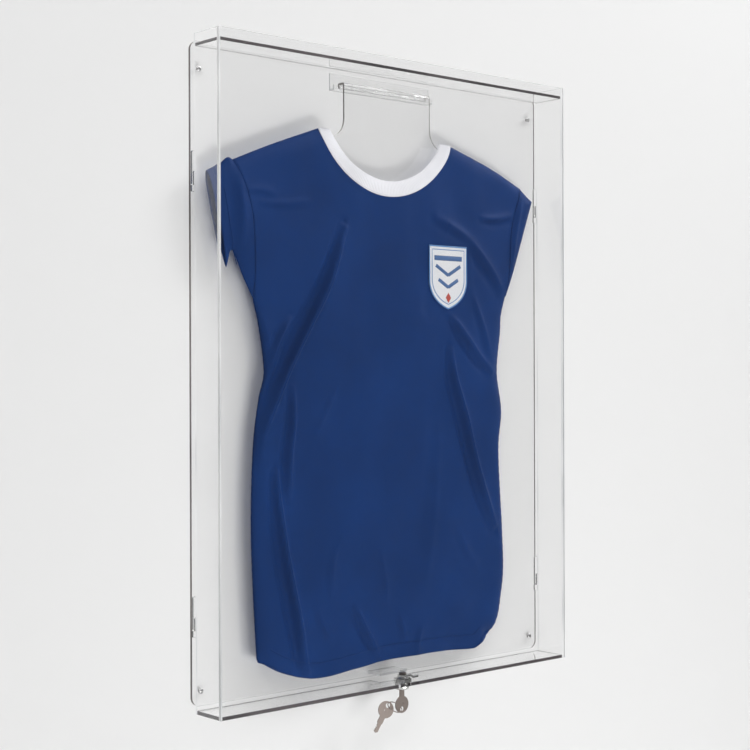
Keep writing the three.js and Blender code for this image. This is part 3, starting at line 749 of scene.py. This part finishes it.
def drape(columns=48, rows=76, frames=26):
    """Hang the sewn shirt from its shoulders under its own weight and return the relief it takes.

    The cut already has the outline of the hung shirt, so only the movement off its plane is kept."""
    grid = body_grid(columns, rows)
    flat = grid.reshape(-1, 2)
    count = len(flat)
    room = fullness(flat)
    index = np.arange(count).reshape(rows + 1, columns + 1)
    side = shoulder_columns(columns)
    shared = np.zeros_like(index, bool)
    shared[:, [0, -1]] = True
    shared[-1, :side + 1] = True
    shared[-1, -side - 1:] = True
    front_y = MID_Y - SEW_GAP - room * FRONT_FULLNESS
    back_y = MID_Y + SEW_GAP + room * BACK_FULLNESS
    verts = [(x * MM, y * MM, z * MM) for (x, z), y in zip(flat, front_y)]
    rear = index.copy()
    for (j, i), sewn in np.ndenumerate(shared):
        if not sewn:
            rear[j, i] = len(verts)
            x, z = grid[j, i]
            verts.append((x * MM, back_y[index[j, i]] * MM, z * MM))
    faces = grid_faces(rows, columns)
    faces += [tuple(int(rear.flat[v]) for v in quad[::-1]) for quad in grid_faces(rows, columns)]
    mesh = mesh_of("drape", verts, faces)
    cloth_object = bpy.data.objects.new("drape", mesh)
    bpy.context.scene.collection.objects.link(cloth_object)
    pins = cloth_object.vertex_groups.new(name="pins")
    held = set(index[-1].tolist()) | set(rear[-1].tolist()) | set(index[-2, :side].tolist())
    held |= set(index[-2, -side:].tolist())
    pins.add(sorted(held), 1.0, "REPLACE")
    modifier = cloth_object.modifiers.new("cloth", "CLOTH")
    cloth = modifier.settings
    cloth.quality = 6
    cloth.mass = 0.0004
    cloth.tension_stiffness = cloth.compression_stiffness = 30.0
    cloth.shear_stiffness = 12.0
    cloth.bending_stiffness = 0.02
    cloth.air_damping = 1.0
    cloth.shrink_min = -0.008
    cloth.vertex_group_mass = "pins"
    modifier.point_cache.frame_start, modifier.point_cache.frame_end = 1, frames
    scene = bpy.context.scene
    for frame_number in range(1, frames + 1):
        scene.frame_set(frame_number)
    hung = bpy.data.meshes.new_from_object(cloth_object.evaluated_get(bpy.context.evaluated_depsgraph_get()))
    moved = np.array([v.co.y for v in hung.vertices]) / MM
    scene.frame_set(1)
    bpy.data.objects.remove(cloth_object)
    bpy.data.meshes.remove(hung)
    reliefs = []
    for outward in (front_y - moved[:count], moved[rear.reshape(-1)] - back_y):
        kept = np.clip(outward, DRAPE_IN, DRAPE_OUT).reshape(rows + 1, columns + 1)
        reliefs.append(softened(kept, DRAPE_PASSES).reshape(-1))
    return tree_of(flat), *reliefs


HANG = drape()


def relief(points, which):
    """The drape's relief at the given points, blended from the nearest simulated ones: 1 front, 2 back."""
    if HANG is None:
        return np.zeros(len(points))
    tree, values = HANG[0], HANG[which]
    result = np.empty(len(points))
    for n, (x, z) in enumerate(points):
        found = tree.find_n((x, z, 0.0), RELIEF_POINTS)
        weights = [math.exp(-(d / RELIEF_REACH) ** 2) + 1e-6 for _, _, d in found]
        result[n] = sum(values[k] * w for (_, k, _), w in zip(found, weights)) / sum(weights)
    return result


def front_depth(points):
    """Y of the front's outer face, in millimetres, at (x, z) points."""
    points = np.asarray(points, float)
    moving = undulation(points, FRONT_WAVES) + fold_height(points) + relief(points, 1)
    out = FRONT_FULLNESS + moving * looseness(points)
    return MID_Y - SEW_GAP - fullness(points) * np.maximum(out, LEAST_FULLNESS)


def looseness(points):
    """1 where the cloth is free, 0 where the embroidered badge holds it flat."""
    middle = np.array([(BADGE_LOW.x + BADGE_HIGH.x) / 2, (BADGE_LOW.z + BADGE_HIGH.z) / 2]) / MM
    half = np.array([BADGE_HIGH.x - BADGE_LOW.x, BADGE_HIGH.z - BADGE_LOW.z]) / 2 / MM
    beyond = np.linalg.norm(np.maximum(np.abs(points - middle) - half, 0.0), axis=1)
    return np.clip(beyond / BADGE_EASE, 0.0, 1.0) ** 1.5


def back_depth(points):
    """Y of the back's outer face, as for the front."""
    out = BACK_FULLNESS + undulation(points, BACK_WAVES) + relief(points, 2)
    return MID_Y + SEW_GAP + fullness(points) * np.clip(out, LEAST_FULLNESS, MOST_FULLNESS)


def sheet_mesh(name, grid, depth, flip):
    rows, columns = grid.shape[0] - 1, grid.shape[1] - 1
    verts = [(x * MM, y * MM, z * MM) for (x, z), y in zip(grid.reshape(-1, 2), depth)]
    return mesh_of(name, verts, grid_faces(rows, columns, flip=flip))


def cloth_piece(name, grid, depth, flip, replaced):
    """A panel of the shirt, its thickness laid on the inside of the given depths."""
    mesh = sheet_mesh(name, grid, depth, flip)
    piece = new_object(name, mesh, JERSEY, "hanger", replaced)
    modifier = piece.modifiers.new("cloth_thickness", "SOLIDIFY")
    modifier.thickness = CLOTH_THICKNESS * MM
    modifier.offset = -1.0


def make_shirt():
    body = body_grid(150, 230)
    points = body.reshape(-1, 2)
    cloth_piece("shirt_front", body, front_depth(points), False, ["jersey_front"])
    cloth_piece("shirt_back", body, back_depth(points), True, ["jersey_back"])
    for side, grid in (("left", left_sleeve_grid(24, 60)), ("right", right_sleeve_grid(18, 60))):
        points = grid.reshape(-1, 2)
        cloth_piece(f"sleeve_{side}_front", grid, front_depth(points), False, [f"sleeve_{side}"])
        cloth_piece(f"sleeve_{side}_back", grid, back_depth(points), True, [f"sleeve_{side}"])


# ---------------------------------------------------------------- collar, seams and badge

COLLAR_WIDTH = 21.5
COLLAR_LAP = 1.5            # how far the collar laps the shirt
COLLAR_THICKNESS = 1.5
COLLAR_CROWN, COLLAR_LEAN = 1.5, 1.2
RIB_HEIGHT = 0.28


def make_collar():
    """Ribbed band folded double, sewn along the neckline; its ribs run across it."""
    count, across, ribs, window = 640, 10, 128, 121
    verts = []
    outer = [neck_point(math.pi + math.pi * k / count, 4.0) for k in range(count + 1)]
    seats = np.minimum(front_depth(outer), MID_Y - 3.0)
    kernel = np.hanning(window) / np.hanning(window).sum()
    seats = np.convolve(np.pad(seats, window // 2, mode="edge"), kernel, mode="valid")
    for k in range(count + 1):
        a = math.pi + math.pi * k / count
        rib = RIB_HEIGHT * math.cos(2 * math.pi * ribs * k / count)
        loop = []
        for j in range(across + 1):
            s = j / across
            x, z = neck_point(a, COLLAR_LAP - COLLAR_WIDTH * s)
            crown = COLLAR_CROWN * math.sin(math.pi * min(1.0, 0.12 + 0.88 * s)) + 0.25
            y = seats[k] - crown - rib * math.sin(math.pi * s) ** 0.5 + COLLAR_LEAN * s
            loop.append((x, y, z))
        front = [(x * MM, y * MM, z * MM) for x, y, z in loop]
        rear = [(x * MM, (y + COLLAR_THICKNESS) * MM, z * MM) for x, y, z in loop]
        verts += front + rear[::-1]
    mesh = solid_of("collar_band", verts, tube_faces(count + 1, 2 * (across + 1), flip=True))
    collar = new_object("collar_band", mesh, RIB, "hanger", ["collar"])


def ribbon(name, line, width, height, material, lift, count):
    """A low rounded seam or stitched strip, made of count lengths along a line on the shirt's front."""
    path = along(line, count)
    tangent = np.gradient(path, axis=0)
    tangent /= np.linalg.norm(tangent, axis=1)[:, None]
    side = np.stack([-tangent[:, 1], tangent[:, 0]], 1)
    shape = [(-0.5, 0.0), (-0.36, 0.75), (0.0, 1.0), (0.36, 0.75), (0.5, 0.0)]
    verts = []
    for p, n, y in zip(path, side, front_depth(path) - lift):
        verts += [((p[0] + n[0] * w * width) * MM, (y - h * height) * MM, (p[1] + n[1] * w * width) * MM)
                  for w, h in shape]
    mesh = solid_of(name, verts, tube_faces(len(path), len(shape)))
    new_object(name, mesh, material, "hanger")


def make_seams():
    """Welted seams along the armholes, and the stitching that holds the turned-up hem and cuff."""
    hem = [(x * 0.985, z + 20) for x, z in HEM[1:-1]]
    cuff = [(x + 14, z + 4) for x, z in LEFT_CUFF[:-1]]
    for name, line, width, height, count in (
        ("armhole_seam_left", LEFT_SEAM, 1.6, 0.5, 160), ("armhole_seam_right", RIGHT_SEAM, 1.6, 0.5, 160),
        ("hem_stitching", hem, 1.2, 0.3, 320), ("cuff_stitching", cuff, 1.2, 0.3, 160),
    ):
        ribbon(name, line, width, height, JERSEY, 0.25, count)


def shield(inset, count=14):
    """Outline of the badge, in millimetres, pulled in by inset: straight sides that curve to a point."""
    x0, x1 = BADGE_LOW.x / MM + inset, BADGE_HIGH.x / MM - inset
    z0, z1 = BADGE_LOW.z / MM + inset * 1.3, BADGE_HIGH.z / MM - inset
    mid, turn, pull = (x0 + x1) / 2, z0 + (z1 - z0) * 0.42, z0 + (z1 - z0) * 0.12
    points = [(x0, z1), (x0, (z1 + turn) / 2)]
    for k in range(count + 1):
        t = k / count
        start, bend, end = (1 - t) ** 2, 2 * t * (1 - t), t * t
        points.append((start * x0 + bend * (x0 + 3.0) + end * mid, start * turn + bend * pull + end * z0))
    return points + [(2 * mid - x, z) for x, z in reversed(points[:-1])]


def patch(name, outline, lift, height):
    """A flat embroidered patch that lies on the shirt, its points and faces in the same order each run."""
    work = bmesh.new()
    ring = [work.verts.new((x * MM, 0, z * MM)) for x, z in outline]
    face = work.faces.new(ring)
    bmesh.ops.triangulate(work, faces=[face])
    bmesh.ops.subdivide_edges(work, edges=work.edges, cuts=3, use_grid_fill=True)
    made = bmesh.ops.extrude_face_region(work, geom=list(work.faces))
    moved = {v for v in made["geom"] if isinstance(v, bmesh.types.BMVert)}
    seats = front_depth([(v.co.x / MM, v.co.z / MM) for v in work.verts]) - lift
    for v, y in zip(work.verts, seats):
        v.co.y = (y - (height if v in moved else 0.0)) * MM
    rank = {v: k for k, v in enumerate(sorted(work.verts, key=lambda v: tuple(v.co)))}
    verts, faces = [tuple(v.co) for v in rank], []
    for face in work.faces:
        corners = [rank[v] for v in face.verts]
        first = corners.index(min(corners))
        faces.append(corners[first:] + corners[:first])
    work.free()
    mesh = solid_of(name, verts, sorted(faces))
    smooth_by_angle(mesh, 50)
    return mesh


def make_badge():
    """A generic crest: a white shield with two lines of piping, a bar, two chevrons and a lozenge."""
    field = patch("badge_field", shield(1.5), 0.5, 0.7)
    field_piece = new_object("badge_field", field, WHITE_THREAD, "hanger", ["badge"])
    bevel(field_piece, 0.3 * MM, 40)
    for name, inset, width in (("badge_rim", 1.2, 1.2), ("badge_inner_line", 6.0, 0.6)):
        make_piping(name, np.array(shield(inset)), width)
    mid, top, lift = (BADGE_LOW.x + BADGE_HIGH.x) / 2 / MM, BADGE_HIGH.z / MM, 1.2
    bar = [(mid - 27, top - 18), (mid, top - 18), (mid + 27, top - 18)]
    ribbon("badge_bar", bar, 7.0, 0.5, NAVY_THREAD, lift, 40)
    for k in range(2):
        z, reach = top - 42 - 17 * k, 24 - 5 * k
        for half, sign in (("left", -1), ("right", 1)):
            aside = sign * reach
            arm = [(mid, z), (mid + aside / 2, z + reach * 0.28), (mid + aside, z + reach * 0.56)]
            ribbon(f"badge_chevron_{k + 1}_{half}", arm, 5.2, 0.5, NAVY_THREAD, lift, 24)
    z = top - 74
    lozenge = patch("badge_lozenge", [(mid - 5, z), (mid, z - 7), (mid + 5, z), (mid, z + 7)], lift, 0.5)
    new_object("badge_lozenge", lozenge, RED_THREAD, "hanger")


def make_piping(name, points, width):
    """A raised cord along a closed line on the badge."""
    count = len(points)
    verts, sides = [], 8
    depths = front_depth(points) - 1.0
    for k in range(count):
        before, after = points[k - 1], points[(k + 1) % count]
        t = (after - before) / np.linalg.norm(after - before)
        n = np.array([-t[1], t[0]])
        for j in range(sides):
            a = 2 * math.pi * j / sides
            w, h = width * math.cos(a), 0.8 * math.sin(a)
            verts.append(((points[k][0] + n[0] * w) * MM, (depths[k] - h) * MM,
                          (points[k][1] + n[1] * w) * MM))
    mesh = solid_of(name, verts, tube_faces(count, sides, closed=True))
    new_object(name, mesh, PIPING_THREAD, "hanger")


# ---------------------------------------------------------------- stage

STAGE_SPAN = 3.0
STAGE_FLOOR_Z = -1.5
STAGE_GAP = 1.5 * MM        # from the back of the case, at Y 0, to the wall
FLAG_WAY = (0.66, -0.75, 0.0)
AIR_BRIGHT, AIR_DARK = 0.24, 0.08

# Each light's place, the point it faces, its width and height in metres, and its power in watts. They stand
# where the flat front doesn't mirror them toward the photograph's view or a view from straight ahead.
LIGHTS = {
    "low_light": ((0.1, -2.0, -1.28), (0, 0, 0), (1.8, 0.4), 20.0),
    "top_light": ((0.9, -1.7, 2.3), (0, 0, 0.1), (2.0, 1.4), 31.0),
    "right_light": ((3.2, -1.6, 2.3), (0, 0, 0), (1.2, 1.2), 60.0),
    "left_light": ((-1.9, -1.9, 1.6), (0, 0, 0), (1.2, 0.9), 20.0),
    "back_light": ((0.4, 1.8, 1.7), (0, 0, 0), (1.2, 0.9), 30.0),
}


def plane(name, corners, material):
    mesh = mesh_of(name, corners, [(0, 1, 2, 3)], smooth=False)
    mesh.materials.append(material)
    piece = bpy.data.objects.new(name, mesh)
    bpy.context.scene.collection.objects.link(piece)


def area_light(name, place, target, size, power):
    light = bpy.data.objects.new(name, bpy.data.lights.new(name, "AREA"))
    bpy.context.scene.collection.objects.link(light)
    light.data.shape = "RECTANGLE"
    light.data.size, light.data.size_y = size
    light.data.energy = power
    light.location = place
    light.rotation_euler = (Vector(target) - Vector(place)).to_track_quat("-Z", "Y").to_euler()


def studio_air(world):
    """Pale light from all round, with a dark flag to the right of the case that keeps the front clear."""
    nodes, links = world.node_tree.nodes, world.node_tree.links
    way = nodes.new("ShaderNodeVectorMath")
    way.operation = "DOT_PRODUCT"
    way.inputs[1].default_value = FLAG_WAY
    links.new(nodes.new("ShaderNodeTexCoord").outputs["Generated"], way.inputs[0])
    flag = map_range(nodes, links, way.outputs["Value"], 0.6, 0.9, AIR_BRIGHT, AIR_DARK)
    links.new(flag, nodes["Background"].inputs["Strength"])
    nodes["Background"].inputs["Color"].default_value = (1.0, 1.0, 1.0, 1.0)


def make_stage():
    s, y, z = STAGE_SPAN, STAGE_GAP, STAGE_FLOOR_Z
    wall = stage_material("stage_wall", (0.82, 0.82, 0.82), one_sided=True)
    floor = stage_material("stage_floor", (0.8, 0.8, 0.79))
    plane("stage_wall", [(-s, y, z), (s, y, z), (s, y, s), (-s, y, s)], wall)
    plane("stage_floor", [(-s, -s, z), (s, -s, z), (s, s, z), (-s, s, z)], floor)
    world = bpy.data.worlds.new("world")
    bpy.context.scene.world = world
    world.use_nodes = True
    studio_air(world)
    for name, (place, target, size, power) in LIGHTS.items():
        area_light(name, place, target, size, power)


def set_render_look():
    scene = bpy.context.scene
    scene.view_settings.view_transform = "Standard"
    scene.cycles.max_bounces = 24
    scene.cycles.transmission_bounces = 20
    scene.cycles.transparent_max_bounces = 24
    scene.cycles.diffuse_bounces = 4
    scene.cycles.glossy_bounces = 6
    scene.cycles.caustics_refractive = False
    scene.cycles.caustics_reflective = False


make_camera()
finish_sheets()
make_screws()
make_lock()
finish_keys()
make_ring()
make_shirt()
make_collar()
make_seams()
make_badge()
make_stage()
set_render_look()
